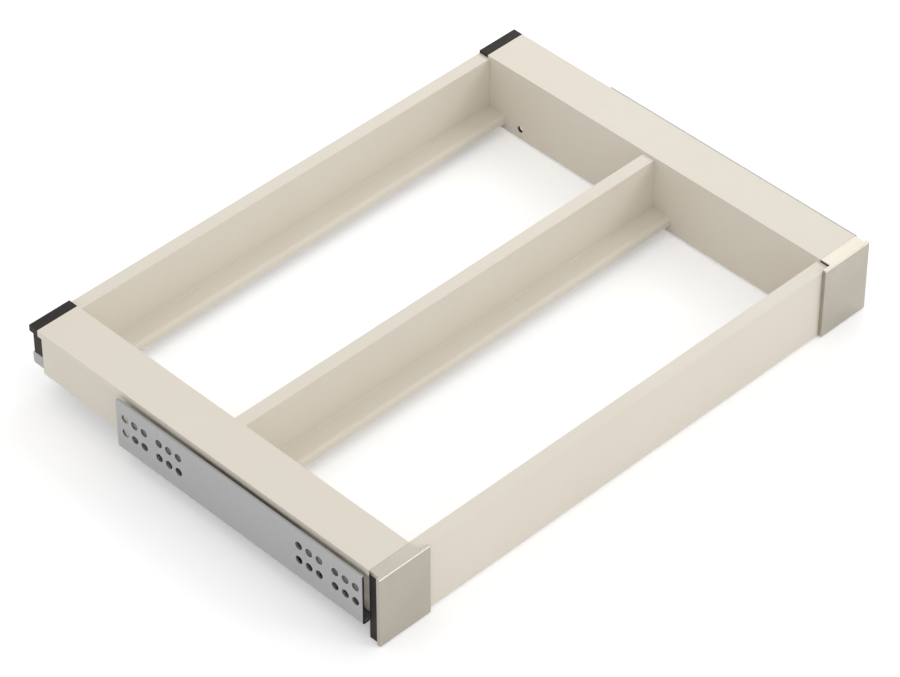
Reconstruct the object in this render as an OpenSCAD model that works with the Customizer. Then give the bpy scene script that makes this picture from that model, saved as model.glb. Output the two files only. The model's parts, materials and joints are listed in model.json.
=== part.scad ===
// Pull-out tray frame: a rectangular frame of beige profiles with two open bays for trays.
// It runs on a full-extension ball slide hidden in each hollow side member, and the slides
// hang on two J-shaped brackets that are screwed to the sides of a cabinet.
// Millimetres. X is the width, -Y is the front, Z is up, and Z = 0 is the lowest face.

/* [Frame] */
// Clear width between the cabinet sides
carcass_width = 451; // [300:1:1200]
// Length of a side member, front to rear
member_length = 306; // [260:1:600]
// Height of the frame, from the foot of the corner blocks to the top
frame_height = 57; // [55:0.5:70]

/* [Side members] */
// Width of a side member
member_width = 34; // [33:0.5:50]
// Thickness of the top wall
top_wall = 2.2; // [1.5:0.1:3]
// Thickness of the wall on the bay side
inner_wall = 2.2; // [1.5:0.1:2.5]
// Thickness of the wall on the cabinet side
outer_wall = 1.8; // [1:0.1:1.9]
// Height of the flange edge along the outer side
flange_height = 5; // [3:0.5:8]
// How far the outer wall stands back from the flange edge
flange_overhang = 2.8; // [2:0.1:3]
// Depth of the outer wall, from the top of the frame
outer_wall_drop = 39; // [36:0.5:40]
// Height of the inner wall's lower edge above the lowest face
inner_wall_foot = 1.5; // [0.5:0.5:4]
// Thickness of each rib of the screw channel
rib_thickness = 1.5; // [1:0.1:2.2]
// Diameter of the pin hole near the rear of the inner wall
pin_hole_diameter = 5; // [3:0.5:7]
// Distance of the pin hole from the rear end of the side member
pin_hole_inset = 32.2; // [20:0.5:60]
// Height of the pin hole above the inner wall's lower edge
pin_hole_height = 8.2; // [6:0.2:12]

/* [Crossbars] */
// Thickness of a crossbar
crossbar_width = 10; // [9:0.5:16]
// Wall thickness of the crossbar profile
crossbar_wall = 1.8; // [1.2:0.1:2]
// How far the crossbars lie below the top of the side members
crossbar_drop = 2; // [1.2:0.1:4]
// Depth of the ledge's upper face, from the top of the frame
ledge_drop = 43; // [40:0.5:44]
// How far a ledge reaches into the bay
ledge_depth = 16; // [10:0.5:24]
// Thickness of the ledge
ledge_thickness = 2.2; // [1.6:0.1:3]
// Height of the downturned lip of a ledge
lip_height = 6.5; // [4:0.5:8]
// Radius of the rounded nose of a ledge
nose_radius = 3; // [3:0.1:4]
// Radius of the fillet between crossbar and ledge
ledge_fillet = 1.2; // [0.5:0.1:2]
// Height of the outer bars' lower edge above the lowest face
skirt_foot = 1; // [0.5:0.5:4]

/* [Corner pieces] */
// Length that a corner piece adds to a side member
corner_length = 8; // [8:0.5:12]
// Length of the tongues that enter the side member and the crossbar
tongue_length = 12; // [8:0.5:16]
// Depth of the rear cap's outer wall, from the top of the frame
cap_wall_drop = 25; // [15:0.5:30]
// Thickness of the cover's front plate
cover_thickness = 3; // [2:0.1:5]
// How far the cover reaches over the front crossbar
cover_overlap = 7; // [4:0.5:12]
// How far the cover's front plate stands out beyond the side member's flange
cover_flare = 2; // [0.5:0.1:3]
// Thickness of the cover's top leg
cover_leaf = 1; // [0.8:0.1:1.5]
// Height of the cover's outer rim
cover_rim = 3; // [2:0.1:5]
// Radius of the cover's top front edge
cover_edge_radius = 0.9; // [0.5:0.1:2.5]

/* [Cabinet brackets] */
// Sheet thickness of a bracket
bracket_sheet = 1.5; // [1:0.1:1.5]
// Gap between a cabinet side and the flange edge of the side member
side_gap = 4.5; // [3.5:0.1:6]
// Depth of the bracket's top edge, from the top of the frame
bracket_top_drop = 3.5; // [1:0.5:8]
// Depth of the bracket's lower face, from the top of the frame
bracket_foot_drop = 44.7; // [44.5:0.1:48]
// Distance of the bracket's front edge from the front end of the side member
bracket_setback = 1.5; // [1:0.5:6]
// Radius of a bracket's upper corners
bracket_corner_radius = 1.8; // [0.5:0.1:4]
// How far a bracket's inner upright rises above the middle height of the track
upright_rise = 6; // [5:0.5:10]
// Diameter of the mounting holes
hole_diameter = 6; // [4:0.1:7]
// Distance of the first hole from the bracket's front edge
hole_inset = 6; // [5:0.5:12]
// Distance of the last hole from the bracket's rear edge
hole_end_inset = 8; // [5:0.5:20]
// Spacing of the holes within a cluster
hole_pitch = 9; // [8:0.5:10]
// Spacing of the two hole rows
row_pitch = 12; // [9:0.5:16]
// Depth of the upper hole row, from the top of the frame
upper_row_drop = 16.3; // [12:0.1:20]
// Spacing of neighbouring clusters, one step of the cabinet's hole grid
cluster_pitch = 32; // [30:1:36]
// Spacing of the front and the rear group of clusters
group_pitch = 160; // [128:32:160]

/* [Slides] */
// How much shorter the travel is than the side member
travel_margin = 6; // [2:1:40]
// Height of the cabinet track and of the drawer rail
track_height = 30; // [28:0.5:30]
// Depth of the track's lower edge, from the top of the frame
track_foot_drop = 37.5; // [37:0.1:38]
// How far the cabinet track reaches out behind the rear caps
track_rear_reach = 3; // [0:0.5:3]
// Height of the end tab on the track's web
end_tab_height = 10; // [6:0.5:10]
// Height of the end tab's foot above the track's lower edge
end_tab_rise = 1.6; // [0:0.1:1.8]
// Length of the end tab's lap on the web, within the side member
end_tab_lap = 6; // [4:0.5:12]
// How far the end tab steps outward behind the side member
end_tab_step = 1.3; // [0.5:0.1:2]
// Radius of the end tab's rear corners
end_tab_radius = 2; // [0.5:0.1:3]
// Sheet thickness of tracks and drawer rails
track_sheet = 1.5; // [1:0.1:1.6]
// Sheet thickness of the middle channels
channel_sheet = 1.3; // [1:0.1:1.4]
// Inner radius of the middle channels' top bend
channel_bend = 0.7; // [0.5:0.1:0.8]
// Diameter of the balls
ball_diameter = 4; // [3.6:0.1:4]
// Spacing of the balls in a cage
ball_pitch = 12; // [8:0.5:20]
// Length of a ball cage
cage_length = 120; // [60:1:130]
// Sheet thickness of a ball cage
cage_sheet = 0.7; // [0.5:0.1:0.7]
// Distance of a slide's first screw from the drawer rail's front end
rail_screw_inset = 25; // [10:1:30]
// Distance of a slide's second screw from the closed ball cage
rail_screw_reach = 20; // [8:1:24]
// Length of a rubber buffer
buffer_length = 4.5; // [3:0.5:6]

/* [Fasteners] */
// Shank diameter of the screws
screw_diameter = 3.5; // [3:0.1:3.8]
// Head diameter of the screws
screw_head_diameter = 6.5; // [5.5:0.1:6.6]
// Head height of the screws
screw_head_height = 2.5; // [1.8:0.1:2.8]
// Shank diameter of the rivets
rivet_diameter = 4; // [3:0.1:4.5]
// Head diameter of the rivets
rivet_head_diameter = 6; // [5:0.1:6.5]
// Head height of the rivets on the middle rails
rivet_head_height = 0.8; // [0.5:0.1:1.2]
// Distance of the rear track rivet from the bracket's rear edge
track_rivet_inset = 20; // [10:1:30]
// Distance of the outer rivets from the ends of a middle rail
middle_rivet_inset = 30; // [15:1:40]

/* [Clearances] */
// Radial play of a ball in its raceway
groove_play = 0.1; // [0.05:0.01:0.1]
// Gap between a ball cage and the rails
cage_gap = 0.3; // [0.2:0.05:0.3]
// Radial play of a ball in its pocket
pocket_play = 0.15; // [0.1:0.01:0.2]
// Gap between the side member's outer wall and the bracket
wall_gap = 0.5; // [0.3:0.1:0.6]
// Gap at a stop or a buffer at the end of the travel
stop_gap = 0.3; // [0.2:0.1:0.5]
// Distance between a stop pip and the head of the fastener beside it
pip_gap = 0.5; // [0.3:0.1:1]
// Play of a tongue, stud or shank in its seat
seat_play = 0.05; // [0.03:0.01:0.1]

/* [Hidden] */
$fn = 48;

beige = [0.86, 0.82, 0.77];
satin_beige = [0.71, 0.68, 0.63];
black = [0.13, 0.13, 0.12];
zinc = [0.67, 0.67, 0.68];
steel = [0.78, 0.78, 0.8];

// Places along Y
member_rear = member_length / 2;
member_front = -member_rear;
frame_rear = member_rear + corner_length;
frame_front = -frame_rear;
outer_bar_y = frame_rear - crossbar_width / 2;
bracket_front = member_front + bracket_setback;
bracket_length = hole_inset + 2 * hole_pitch + cluster_pitch + group_pitch + hole_end_inset;
bracket_rear = bracket_front + bracket_length;
track_front = bracket_front;
track_rear = frame_rear + track_rear_reach;
rail_end_inset = 3;
rail_front = member_front + rail_end_inset;
rail_rear = member_rear - rail_end_inset;
buffer_inset = 2;
track_buffer_rear = track_rear - buffer_inset;
middle_rear = track_buffer_rear - buffer_length - stop_gap;
middle_front = rail_front + buffer_length + stop_gap;

// Places across a side member, measured inward from the cabinet side
member_outer = side_gap;
member_inner = side_gap + member_width;
wall_outer = member_outer + flange_overhang;
hollow_outer = wall_outer + outer_wall;
hollow_inner = member_inner - inner_wall;
upright_outer = hollow_outer + wall_gap;
track_back = upright_outer + bracket_sheet;

// Section of the ball rows
ball_radius = ball_diameter / 2;
groove_radius = ball_radius + groove_play;
row_offset = track_sheet + groove_radius;
channel_wave = row_offset + groove_radius + channel_sheet + channel_bend;
pair_width = channel_wave + channel_bend + channel_sheet;
rail_back = track_back + 2 * pair_width;
track_foot = frame_height - track_foot_drop;
track_middle = track_foot + track_height / 2;
row_rise = track_height / 2 - row_offset;
curl_angle = 45;
groove_angle = 258;
rib_offset = screw_diameter / 2 + seat_play + rib_thickness / 2;

// Heights
ledge_top = frame_height - ledge_drop;
ledge_foot = ledge_top - ledge_thickness;
crossbar_top = frame_height - crossbar_drop;
port_bore_radius = screw_diameter / 2 + seat_play;
port_boss_radius = crossbar_width / 2 - crossbar_wall + 0.3;
port_top = crossbar_top - crossbar_wall - port_boss_radius + 0.3;
port_foot = ledge_foot + crossbar_wall + port_boss_radius - 0.3;
port_depth = 10;

// Studs of a corner cover, seated in the corner block
stud_diameter = 4;
stud_length = 4.5;
stud_inset = 12;
stud_rise = 17;
stud_drop = 16;
stud_depth = member_outer + stud_inset;
stud_heights = [stud_rise, frame_height - stud_drop];

// Peg of a rubber buffer
peg_radius = 1.5;

// Travel, which also ends where a cage meets its stop near the end of a middle rail, or where
// the drawer rail's end leaves no room for a screw beyond the cage's stop pip
stop_end_margin = 1;
stop_pip_radius = 2;
cage_reach = -middle_front - channel_sheet - stop_end_margin - stop_gap - cage_length / 2;
beyond_stop = 2 * stop_pip_radius + pip_gap + screw_head_diameter;
screw_reach = rail_rear - beyond_stop - stop_gap - cage_length / 2;
travel = min(member_length - travel_margin, 4 * cage_reach, 4 * screw_reach);
stop_distance = cage_length / 2 + travel / 4 + stop_gap;
stop_pip_y = stop_distance + stop_pip_radius;
stop_tab_height = 3;
stop_tab_foot = track_middle - screw_head_diameter / 2 - stop_gap - stop_tab_height - 0.5;
cage_web_outer = track_sheet + cage_gap;
cage_flange_end = row_offset + groove_radius - cage_gap;
ball_count = floor((cage_length - 8) / ball_pitch) + 1;

// Moves its children, drawn inward from the cabinet side, to the left side of the frame
module left_side() {
  translate([-carcass_width / 2, 0, 0])
    children();
}

// The same on the right side, as a mirror image
module right_side() {
  mirror([1, 0, 0])
    left_side()
      children();
}

module both_sides() {
  left_side()
    children();
  right_side()
    children();
}

// Extrudes an outline of depth and height along Y
module run_along(front, rear) {
  translate([0, rear, 0])
    rotate([90, 0, 0])
      linear_extrude(rear - front)
        children();
}

// Turns a cylinder's axis from Z to X
module along_x() {
  rotate([0, 90, 0])
    children();
}

// Rectangle from two opposite corners
module area(low, high) {
  translate(low)
    square(high - low);
}

// Box from two opposite corners
module block(low, high) {
  translate(low)
    cube(high - low);
}

// Cut that rounds a corner of a plate, which lies in front of the origin and below it
module corner_cut(radius, thickness) {
  difference() {
    block([-1, -radius, -radius], [thickness + 1, 1, 1]);
    translate([-2, -radius, -radius])
      along_x()
        cylinder(r = radius, h = thickness + 4);
  }
}

// Part of a ring between two angles
module arc_band(inner, outer, start, end) {
  reach = 2 * outer;
  steps = 6;
  intersection() {
    difference() {
      circle(outer);
      circle(inner);
    }
    polygon(concat([[0, 0]], [
      for (i = [0 : steps])
        let (angle = start + (end - start) * i / steps)
          reach * [cos(angle), sin(angle)]
    ]));
  }
}

// Draws its children and their mirror image about the middle height of the track
module top_and_foot() {
  translate([0, track_middle])
    for (flip = [0, 1])
      mirror([0, flip])
        children();
}

// Side member: hollow profile, open below, with a screw channel for the drawer rail
module member_outline() {
  area([member_outer, frame_height - top_wall], [member_inner, frame_height]);
  area([member_outer, frame_height - flange_height], [hollow_outer, frame_height]);
  area([wall_outer, frame_height - outer_wall_drop], [hollow_outer, frame_height]);
  area([hollow_inner, inner_wall_foot], [member_inner, frame_height]);
  for (side = [-1, 1])
    translate([rail_back, track_middle + side * rib_offset - rib_thickness / 2])
      square([hollow_inner + inner_wall / 2 - rail_back, rib_thickness]);
}

module side_member() {
  color(beige)
    difference() {
      run_along(member_front, member_rear)
        member_outline();
      translate([hollow_inner - 1, member_rear - pin_hole_inset, inner_wall_foot + pin_hole_height])
        along_x()
          cylinder(d = pin_hole_diameter, h = inner_wall + 2);
      for (height = [port_foot, port_top])
        translate([hollow_inner - 1, 0, height])
          along_x()
            cylinder(r = port_bore_radius, h = inner_wall + 2);
    }
}

module side_member_left() {
  left_side()
    side_member();
}

module side_member_right() {
  right_side()
    side_member();
}

// Ledge on the left of a crossbar's wall: plate, rounded nose, downturned lip and fillet
module ledge_outline() {
  area([nose_radius - ledge_depth, -ledge_thickness], [0, 0]);
  translate([nose_radius - ledge_depth, -nose_radius])
    arc_band(nose_radius - ledge_thickness, nose_radius, 90, 180);
  area([-ledge_depth, -lip_height], [ledge_thickness - ledge_depth, -nose_radius]);
  difference() {
    area([-ledge_fillet, 0], [0, ledge_fillet]);
    translate([-ledge_fillet, ledge_fillet])
      circle(ledge_fillet);
  }
}

// Hollow wall of a crossbar with two screw ports
module bar_outline() {
  half = crossbar_width / 2;
  difference() {
    area([-half, ledge_foot], [half, crossbar_top]);
    difference() {
      area([crossbar_wall - half, ledge_foot + crossbar_wall],
           [half - crossbar_wall, crossbar_top - crossbar_wall]);
      for (height = [port_foot, port_top])
        translate([0, height])
          circle(port_boss_radius);
    }
    for (height = [port_foot, port_top])
      translate([0, height])
        circle(port_bore_radius);
  }
}

// Extrudes an outline of depth and height along X, between the side members
module span_frame() {
  span = carcass_width - 2 * member_inner;
  translate([-span / 2, 0, 0])
    rotate([90, 0, 90])
      linear_extrude(span)
        children();
}

// Outer crossbar, seen with its bay on the right and its plain face on the left
module outer_bar_outline() {
  half = crossbar_width / 2;
  bar_outline();
  area([-half, skirt_foot], [crossbar_wall - half, crossbar_top]);
  translate([half, ledge_top])
    mirror([1, 0])
      ledge_outline();
}

module front_crossbar() {
  color(beige)
    translate([0, -outer_bar_y, 0])
      span_frame()
        outer_bar_outline();
}

module rear_crossbar() {
  rotate(180)
    front_crossbar();
}

module middle_crossbar() {
  color(beige)
    span_frame() {
      bar_outline();
      for (flip = [0, 1])
        mirror([flip, 0])
          translate([-crossbar_width / 2, ledge_top])
            ledge_outline();
    }
}

// Places of the screws that hold the crossbars, from the side member's hollow
module at_crossbar_screws() {
  for (y = [-outer_bar_y, 0, outer_bar_y])
    for (height = [port_foot, port_top])
      translate([hollow_inner, y, height])
        children();
}

// Pan-head screw along X with its head's seat at the origin
module screw(length) {
  along_x() {
    cylinder(d = screw_diameter, h = length);
    translate([0, 0, -screw_head_height])
      cylinder(d = screw_head_diameter, h = screw_head_height);
  }
}

module crossbar_screws() {
  color(zinc)
    both_sides()
      at_crossbar_screws()
        screw(inner_wall + port_depth);
}

// Tongues of a corner piece, for the rear end of a side member
module corner_tongues(top) {
  tongue_thickness = 3;
  tongue_top = frame_height - top_wall - 0.2;
  bar_half = crossbar_width / 2 - crossbar_wall - seat_play;
  bar_tongue_start = max(member_rear, outer_bar_y - bar_half);
  clear_of_ports = port_boss_radius + 0.5;
  foot_tongue_top = port_foot - screw_head_diameter / 2 - 0.5;
  block([hollow_outer + 1, member_rear - tongue_length, tongue_top - tongue_thickness],
        [hollow_inner - screw_head_height - 0.8, frame_rear - 1, tongue_top]);
  block([hollow_outer + 1, member_rear, tongue_top - tongue_thickness],
        [hollow_inner - screw_head_height - 0.8, frame_rear - 1, top]);
  block([hollow_inner - tongue_thickness, member_rear - tongue_length, inner_wall_foot + 2.5],
        [hollow_inner - seat_play, frame_rear - 1, foot_tongue_top]);
  block([hollow_inner - tongue_thickness, member_rear, inner_wall_foot + 2.5],
        [member_inner - inner_wall / 2, frame_rear - 1, foot_tongue_top]);
  block([member_inner - inner_wall / 2, bar_tongue_start, port_foot + clear_of_ports],
        [member_inner + tongue_length, outer_bar_y + bar_half, port_top - clear_of_ports]);
}

// Holes of the crossbar screws through the wall of a corner piece
module corner_screw_holes() {
  for (height = [port_foot, port_top])
    translate([hollow_inner - 1, outer_bar_y, height])
      along_x()
        cylinder(r = port_bore_radius, h = inner_wall + 2);
}

// Rear cap: continues the side member's outline and leaves the slide free
module rear_corner_cap() {
  color(black)
    difference() {
      union() {
        run_along(member_rear, frame_rear) {
          area([member_outer, frame_height - top_wall], [member_inner, frame_height]);
          area([member_outer, frame_height - flange_height], [hollow_outer, frame_height]);
          area([wall_outer, frame_height - cap_wall_drop], [hollow_outer, frame_height]);
          area([hollow_inner, inner_wall_foot], [member_inner, frame_height]);
        }
        corner_tongues(frame_height);
      }
      corner_screw_holes();
    }
}

module rear_corner_cap_left() {
  left_side()
    rear_corner_cap();
}

module rear_corner_cap_right() {
  right_side()
    rear_corner_cap();
}

// Front block: closed in front, hollow behind, with sockets for the cover's studs
module front_corner_block() {
  front_wall = 1.5;
  block_top = frame_height - cover_leaf;
  rim_seat = member_outer + 1.5;
  color(black)
    mirror([0, 1, 0])
      difference() {
        union() {
          difference() {
            block([member_outer, member_rear, 0], [member_inner, frame_rear, block_top]);
            block([member_outer + inner_wall, member_rear - 1, inner_wall],
                  [hollow_inner, frame_rear - front_wall, block_top - top_wall]);
            block([member_outer - 1, member_rear - 1, frame_height - cover_rim - seat_play],
                  [rim_seat, frame_rear + 1, frame_height]);
          }
          corner_tongues(block_top);
          for (height = stud_heights)
            translate([stud_depth, frame_rear - front_wall / 2, height])
              rotate([90, 0, 0])
                cylinder(d = stud_diameter + 4, h = stud_length + 1.2);
        }
        for (height = stud_heights)
          translate([stud_depth, frame_rear + 1, height])
            rotate([90, 0, 0])
              cylinder(r = stud_diameter / 2 + seat_play, h = stud_length + 1.5);
        corner_screw_holes();
      }
}

module front_corner_block_left() {
  left_side()
    front_corner_block();
}

module front_corner_block_right() {
  right_side()
    front_corner_block();
}

// Cover of the front block: a front plate that stands out, a top leg with a rim, and two studs
module front_corner_cover() {
  cover_foot = 0.5;
  flared = member_outer - cover_flare;
  rim_width = 1.2;
  plate_front = frame_front - cover_thickness;
  seam = frame_front - 0.4;
  color(satin_beige) {
    translate([flared, 0, 0])
      rotate([90, 0, 90])
        linear_extrude(member_inner + cover_overlap - flared)
          difference() {
            area([plate_front, cover_foot], [frame_front, frame_height]);
            difference() {
              area([plate_front, frame_height - cover_edge_radius],
                   [plate_front + cover_edge_radius, frame_height]);
              translate([plate_front + cover_edge_radius, frame_height - cover_edge_radius])
                circle(cover_edge_radius);
            }
          }
    translate([0, 0, frame_height - cover_leaf])
      linear_extrude(cover_leaf)
        area([member_outer, seam], [member_inner, member_front]);
    translate([0, 0, frame_height - cover_rim])
      linear_extrude(cover_rim)
        area([member_outer, seam], [member_outer + rim_width, member_front]);
    for (height = stud_heights)
      translate([stud_depth, frame_front + stud_length, height])
        rotate([90, 0, 0])
          cylinder(d = stud_diameter, h = stud_length + cover_thickness / 2);
  }
}

module front_corner_cover_left() {
  left_side()
    front_corner_cover();
}

module front_corner_cover_right() {
  right_side()
    front_corner_cover();
}

// Bracket: J-shaped sheet that passes below the outer wall and rises behind it
module bracket_outline() {
  bend_inner = 0.3;
  bend_outer = bend_inner + bracket_sheet;
  foot = frame_height - bracket_foot_drop;
  step = 2;
  step_start = wall_outer - 2.3;
  step_end = step_start + step;
  area([0, foot + bend_outer], [bracket_sheet, frame_height - bracket_top_drop]);
  translate([bend_outer, foot + bend_outer])
    arc_band(bend_inner, bend_outer, 180, 270);
  area([bend_outer, foot], [step_start, foot + bracket_sheet]);
  polygon([[step_start, foot], [step_end, foot + step],
           [step_end, foot + step + bracket_sheet], [step_start, foot + bracket_sheet]]);
  area([step_end, foot + step], [track_back - bend_outer, foot + step + bracket_sheet]);
  translate([track_back - bend_outer, foot + step + bend_outer])
    arc_band(bend_inner, bend_outer, 270, 360);
  area([upright_outer, foot + step + bend_outer], [track_back, track_middle + upright_rise]);
}

// Mounting holes of a bracket: two groups of two clusters, two rows of three each
module at_mounting_holes() {
  for (group = [0, 1], cluster = [0, 1], column = [0 : 2], row = [0, 1])
    translate([
      0,
      bracket_front + hole_inset + group * group_pitch + cluster * cluster_pitch + column * hole_pitch,
      frame_height - upper_row_drop - row * row_pitch
    ])
      children();
}

// Places of the rivets that join a bracket to its track, the front one beside the stop pip
module at_track_rivets() {
  beside_pip = stop_pip_radius + pip_gap + rivet_head_diameter / 2;
  middle = (bracket_front + bracket_rear) / 2;
  for (y = [beside_pip - stop_pip_y, middle, bracket_rear - track_rivet_inset])
    translate([upright_outer, y, track_middle])
      children();
}

// Flush rivet along X through two sheets, grown by a play on all round faces
module flush_rivet(play) {
  grip = bracket_sheet + track_sheet;
  head_depth = 1;
  along_x() {
    cylinder(d = rivet_diameter + 2 * play, h = grip);
    cylinder(d1 = rivet_head_diameter + 2 * play, d2 = rivet_diameter + 2 * play, h = head_depth);
    translate([0, 0, grip - head_depth])
      cylinder(d1 = rivet_diameter + 2 * play, d2 = rivet_head_diameter + 2 * play, h = head_depth);
  }
}

module cabinet_bracket() {
  color(zinc)
    difference() {
      run_along(bracket_front, bracket_rear)
        bracket_outline();
      at_mounting_holes()
        translate([-1, 0, 0])
          along_x()
            cylinder(d = hole_diameter, h = bracket_sheet + 2);
      at_track_rivets()
        flush_rivet(seat_play);
      for (end = [0, 1])
        translate([0, end == 0 ? bracket_front : bracket_rear, frame_height - bracket_top_drop])
          mirror([0, 1 - end, 0])
            corner_cut(bracket_corner_radius, bracket_sheet);
    }
}

module cabinet_bracket_left() {
  left_side()
    cabinet_bracket();
}

module cabinet_bracket_right() {
  right_side()
    cabinet_bracket();
}

// Section of a C rail, its back on the left: web with a raceway curled over each ball row
module rail_outline() {
  area([0, track_middle - row_rise], [track_sheet, track_middle + row_rise]);
  top_and_foot()
    translate([row_offset, row_rise])
      arc_band(groove_radius, groove_radius + track_sheet, curl_angle, 180);
}

// Section of half a middle rail, its back on the right: grooves below the balls, bend and web
module channel_outline() {
  area([pair_width - channel_sheet, track_middle - row_rise],
       [pair_width, track_middle + row_rise]);
  top_and_foot() {
    translate([row_offset, row_rise])
      arc_band(groove_radius, groove_radius + channel_sheet, groove_angle, 360);
    translate([channel_wave, row_rise])
      arc_band(channel_bend, channel_bend + channel_sheet, 0, 180);
  }
}

// Pressed pip on a rail's web that stops the ball cage
module stop_pip() {
  pip_height = cage_gap + cage_sheet - 0.1;
  along_x()
    translate([0, 0, track_sheet / 2])
      cylinder(r = stop_pip_radius, h = track_sheet / 2 + pip_height);
}

// Hollow behind a stop pip
module stop_pip_recess() {
  along_x()
    translate([0, 0, -1])
      cylinder(r = stop_pip_radius - 0.3, h = 1 + track_sheet * 0.6);
}

// A C rail from its front to its rear end, with a stop pip for the cage
module c_rail(front, rear, pip_y) {
  difference() {
    union() {
      run_along(front, rear)
        rail_outline();
      translate([0, pip_y, track_middle])
        stop_pip();
    }
    translate([0, pip_y, track_middle])
      stop_pip_recess();
  }
}

// Hole of a buffer's peg in a rail's web
module peg_hole() {
  along_x()
    translate([0, 0, -1])
      cylinder(r = peg_radius + seat_play, h = track_sheet + 2);
}

// Stepped plate on the outer face of the track's web, seen behind the side member's outer wall
module end_tab() {
  seam = 0.2;
  foot = track_foot + end_tab_rise;
  outer_face = upright_outer - end_tab_step;
  tab_front = member_rear - end_tab_lap;
  step_front = member_rear + 0.5;
  step_rear = step_front + end_tab_step;
  difference() {
    translate([0, 0, foot])
      linear_extrude(end_tab_height)
        polygon([[upright_outer, tab_front], [upright_outer, step_front], [outer_face, step_rear],
                 [outer_face, track_rear], [outer_face + track_sheet, track_rear],
                 [outer_face + track_sheet, step_rear], [track_back + seam, step_front],
                 [track_back + seam, tab_front]]);
    for (flip = [0, 1])
      translate([outer_face, track_rear, foot + (1 - flip) * end_tab_height])
        mirror([0, 0, flip])
          corner_cut(end_tab_radius, track_sheet);
  }
}

module cabinet_track() {
  color(zinc)
    difference() {
      translate([track_back, 0, 0])
        difference() {
          c_rail(track_front, track_rear, -stop_pip_y);
          translate([0, track_buffer_rear - buffer_length / 2, track_middle])
            peg_hole();
        }
      at_track_rivets()
        flush_rivet(seat_play);
    }
  color(zinc)
    end_tab();
}

module cabinet_track_left() {
  left_side()
    cabinet_track();
}

module cabinet_track_right() {
  right_side()
    cabinet_track();
}

module track_rivets() {
  color(steel)
    both_sides()
      at_track_rivets()
        flush_rivet(0);
}

// Rubber buffer on a rail's web: a block with a peg through the web
module buffer() {
  block_height = 12;
  translate([track_sheet, -buffer_length / 2, -block_height / 2])
    cube([pair_width - track_sheet - 0.2, buffer_length, block_height]);
  along_x()
    cylinder(r = peg_radius, h = track_sheet + 1);
}

module track_buffers() {
  color(black)
    both_sides()
      translate([track_back, track_buffer_rear - buffer_length / 2, track_middle])
        buffer();
}

// Mirrors its children, drawn as a cabinet track, into the place of the drawer rail
module as_drawer_rail() {
  translate([rail_back, 0, 0])
    mirror([1, 0, 0])
      children();
}

// Places of the screws that hold a drawer rail, clear of the cage's travel
module at_drawer_rail_screws() {
  beside_pip = stop_pip_radius + pip_gap + screw_head_diameter / 2;
  for (y = [rail_front + rail_screw_inset, -cage_length / 2 - rail_screw_reach, stop_pip_y + beside_pip])
    translate([rail_back - track_sheet, y, track_middle])
      children();
}

module drawer_rail() {
  color(zinc)
    difference() {
      as_drawer_rail()
        difference() {
          c_rail(rail_front, rail_rear, stop_pip_y);
          translate([0, rail_front + buffer_length / 2, track_middle])
            peg_hole();
        }
      at_drawer_rail_screws()
        along_x()
          translate([0, 0, -1])
            cylinder(r = port_bore_radius, h = track_sheet + 2);
    }
}

module drawer_rail_left() {
  left_side()
    drawer_rail();
}

module drawer_rail_right() {
  right_side()
    drawer_rail();
}

module drawer_rail_screws() {
  color(zinc)
    both_sides()
      at_drawer_rail_screws()
        screw(track_sheet + hollow_inner - rail_back - 0.3);
}

module drawer_rail_buffers() {
  color(black)
    both_sides()
      as_drawer_rail()
        translate([0, rail_front + buffer_length / 2, track_middle])
          buffer();
}

// Places of the rivets that join the two channels of a middle rail
module at_middle_rivets() {
  middle = (middle_front + middle_rear) / 2;
  for (y = [middle_front + middle_rivet_inset, middle, middle_rear - middle_rivet_inset])
    translate([track_back + pair_width, y, track_middle])
      children();
}

// One channel of a middle rail, with a tab lanced from its web that stops the cage.
// The tab stands at the outer end of the window that it was cut from.
module middle_channel(front, rear, tab_side) {
  tab_y = stop_distance;
  tab_reach = pair_width - channel_sheet - cage_web_outer - 0.05;
  tab_end = tab_y + channel_sheet;
  difference() {
    run_along(front, rear)
      channel_outline();
    block([pair_width - channel_sheet - 1, tab_side > 0 ? tab_y - tab_reach : -tab_y, stop_tab_foot],
          [pair_width + 1, tab_side > 0 ? tab_y : tab_reach - tab_y, stop_tab_foot + stop_tab_height]);
  }
  translate([cage_web_outer + 0.05, tab_side > 0 ? tab_y : -tab_end, stop_tab_foot])
    cube([tab_reach + channel_sheet / 2, channel_sheet, stop_tab_height]);
}

// Holes of the middle rail's rivets
module middle_rivet_holes() {
  at_middle_rivets()
    along_x()
      translate([0, 0, -channel_sheet - 1])
        cylinder(d = rivet_diameter + 2 * seat_play, h = 2 * channel_sheet + 2);
}

module middle_outer_channel() {
  color(zinc)
    difference() {
      translate([track_back, 0, 0])
        middle_channel(middle_front, middle_rear, 1);
      middle_rivet_holes();
    }
}

module middle_inner_channel() {
  color(zinc)
    difference() {
      as_drawer_rail()
        middle_channel(middle_front, middle_rear, -1);
      middle_rivet_holes();
    }
}

module middle_rail_rivets() {
  color(steel)
    at_middle_rivets()
      along_x()
        for (flip = [0, 1])
          mirror([0, 0, flip]) {
            cylinder(d = rivet_diameter, h = channel_sheet + rivet_head_height / 2);
            translate([0, 0, channel_sheet])
              cylinder(d = rivet_head_diameter, h = rivet_head_height);
          }
}

module middle_outer_channel_left() {
  left_side()
    middle_outer_channel();
}

module middle_inner_channel_left() {
  left_side()
    middle_inner_channel();
}

module middle_rail_rivets_left() {
  left_side()
    middle_rail_rivets();
}

module middle_outer_channel_right() {
  right_side()
    middle_outer_channel();
}

module middle_inner_channel_right() {
  right_side()
    middle_inner_channel();
}

module middle_rail_rivets_right() {
  right_side()
    middle_rail_rivets();
}

// Places of the balls of one cage, in both rows
module at_balls() {
  first = -(ball_count - 1) * ball_pitch / 2;
  for (i = [0 : ball_count - 1], side = [-1, 1])
    translate([row_offset, first + i * ball_pitch, track_middle + side * row_rise])
      children();
}

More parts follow.
